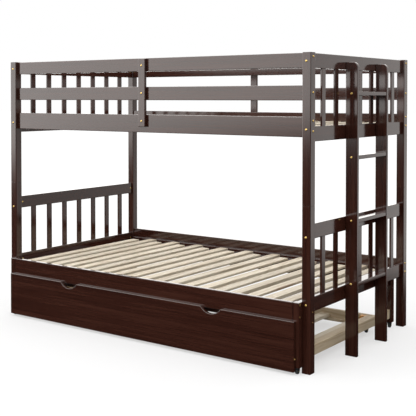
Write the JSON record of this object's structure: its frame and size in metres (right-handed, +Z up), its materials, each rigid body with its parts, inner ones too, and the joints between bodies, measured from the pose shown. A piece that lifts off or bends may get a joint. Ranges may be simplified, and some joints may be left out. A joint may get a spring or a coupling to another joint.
{
  "type": "bunk bed",
  "caption": "Twin bunk bed with an end ladder, guard rails, a slatted pull-out bed on casters under the lower bunk and a rolling trundle base behind a front panel.",
  "frame": {"origin": "middle of the whole footprint, ladder and trundle panel included, on the floor", "axes": "+X along the bed towards the ladder end, +Y across it towards the rear (the pull-out bed and the trundle roll out along -Y), +Z up"},
  "size_m": [2.07, 1.1496, 1.483],
  "materials": {
    "espresso_wood": "dark espresso lacquer, very glossy",
    "pine_slats": "bare planed pine",
    "pine_rails": "bare planed pine",
    "black_nylon": "moulded black nylon",
    "dark_wheel": "dark grey rubber tread"
  },
  "bodies": {
    "bed_frame": {"lower_post_front_left": "espresso_wood", "lower_post_front_right": "espresso_wood", "lower_post_rear_left": "espresso_wood", "lower_post_rear_right": "espresso_wood", "upper_post_front_left": "espresso_wood", "upper_post_front_right": "espresso_wood", "upper_post_rear_left": "espresso_wood", "upper_post_rear_right": "espresso_wood", "lower_end_panel_left": "espresso_wood", "lower_end_panel_right": "espresso_wood", "upper_end_panel_left": "espresso_wood", "upper_end_panel_right": "espresso_wood", "guard_top_rail_front": "espresso_wood", "guard_mid_rail_front": "espresso_wood", "guard_upright_front": "espresso_wood", "guard_top_rail_rear": "espresso_wood", "guard_mid_rail_rear": "espresso_wood", "guard_upright_rear": "espresso_wood", "upper_side_rail_front": "espresso_wood", "upper_side_rail_rear": "espresso_wood", "upper_slat_roll": "pine_slats", "lower_rear_rail": "espresso_wood", "lower_front_beam": "espresso_wood", "fixed_slat_set": "pine_slats", "ladder_stile_front": "espresso_wood", "ladder_stile_rear": "espresso_wood", "ladder_tread_1": "espresso_wood", "ladder_tread_2": "espresso_wood", "ladder_tread_3": "espresso_wood", "ladder_tread_4": "espresso_wood"},
    "pullout_bed": {"pullout_front_rail": "espresso_wood", "pullout_rear_rail": "espresso_wood", "pullout_leg_front_left": "espresso_wood", "pullout_leg_front_right": "espresso_wood", "pullout_leg_rear_left": "espresso_wood", "pullout_leg_rear_right": "espresso_wood", "pullout_stretcher_left": "pine_rails", "pullout_stretcher_right": "pine_rails", "pullout_slat_set": "pine_slats", "pullout_caster_fork_front_left": "black_nylon", "pullout_caster_fork_front_right": "black_nylon", "pullout_caster_fork_rear_left": "black_nylon", "pullout_caster_fork_rear_right": "black_nylon"},
    "trundle_base": {"trundle_front_panel": "espresso_wood", "trundle_end_rail_left": "pine_rails", "trundle_end_rail_right": "pine_rails", "trundle_back_rail": "pine_rails", "trundle_slat_set": "pine_slats", "trundle_caster_fork_front_left": "black_nylon", "trundle_caster_fork_front_right": "black_nylon", "trundle_caster_fork_rear_left": "black_nylon", "trundle_caster_fork_rear_right": "black_nylon"},
    "pullout_caster_wheel_front_left": {"pullout_caster_wheel_front_left": "dark_wheel"},
    "pullout_caster_wheel_front_right": {"pullout_caster_wheel_front_right": "dark_wheel"},
    "pullout_caster_wheel_rear_left": {"pullout_caster_wheel_rear_left": "dark_wheel"},
    "pullout_caster_wheel_rear_right": {"pullout_caster_wheel_rear_right": "dark_wheel"},
    "trundle_caster_wheel_front_left": {"trundle_caster_wheel_front_left": "dark_wheel"},
    "trundle_caster_wheel_front_right": {"trundle_caster_wheel_front_right": "dark_wheel"},
    "trundle_caster_wheel_rear_left": {"trundle_caster_wheel_rear_left": "dark_wheel"},
    "trundle_caster_wheel_rear_right": {"trundle_caster_wheel_rear_right": "dark_wheel"}
  },
  "joints": [
    {"name": "pullout_slide", "type": "slide", "parent": "bed_frame", "child": "pullout_bed", "axis": [0, -1, 0], "range_m": [0, 0.9]},
    {"name": "trundle_slide", "type": "slide", "parent": "pullout_bed", "child": "trundle_base", "axis": [0, -1, 0], "range_m": [0, 0.95]},
    {"name": "pullout_wheel_front_left_roll", "type": "hinge", "parent": "pullout_bed", "child": "pullout_caster_wheel_front_left", "pos_m": [-0.979, -0.5385, 0.013], "axis": [1, 0, 0], "continuous": true},
    {"name": "pullout_wheel_front_right_roll", "type": "hinge", "parent": "pullout_bed", "child": "pullout_caster_wheel_front_right", "pos_m": [0.929, -0.5385, 0.013], "axis": [1, 0, 0], "continuous": true},
    {"name": "pullout_wheel_rear_left_roll", "type": "hinge", "parent": "pullout_bed", "child": "pullout_caster_wheel_rear_left", "pos_m": [-0.979, 0.4753, 0.013], "axis": [1, 0, 0], "continuous": true},
    {"name": "pullout_wheel_rear_right_roll", "type": "hinge", "parent": "pullout_bed", "child": "pullout_caster_wheel_rear_right", "pos_m": [0.929, 0.4753, 0.013], "axis": [1, 0, 0], "continuous": true},
    {"name": "trundle_wheel_front_left_roll", "type": "hinge", "parent": "trundle_base", "child": "trundle_caster_wheel_front_left", "pos_m": [-0.9215, -0.5115, 0.013], "axis": [1, 0, 0], "continuous": true},
    {"name": "trundle_wheel_front_right_roll", "type": "hinge", "parent": "trundle_base", "child": "trundle_caster_wheel_front_right", "pos_m": [0.8715, -0.5115, 0.013], "axis": [1, 0, 0], "continuous": true},
    {"name": "trundle_wheel_rear_left_roll", "type": "hinge", "parent": "trundle_base", "child": "trundle_caster_wheel_rear_left", "pos_m": [-0.9215, 0.302, 0.013], "axis": [1, 0, 0], "continuous": true},
    {"name": "trundle_wheel_rear_right_roll", "type": "hinge", "parent": "trundle_base", "child": "trundle_caster_wheel_rear_right", "pos_m": [0.8715, 0.302, 0.013], "axis": [1, 0, 0], "continuous": true}
  ]
}
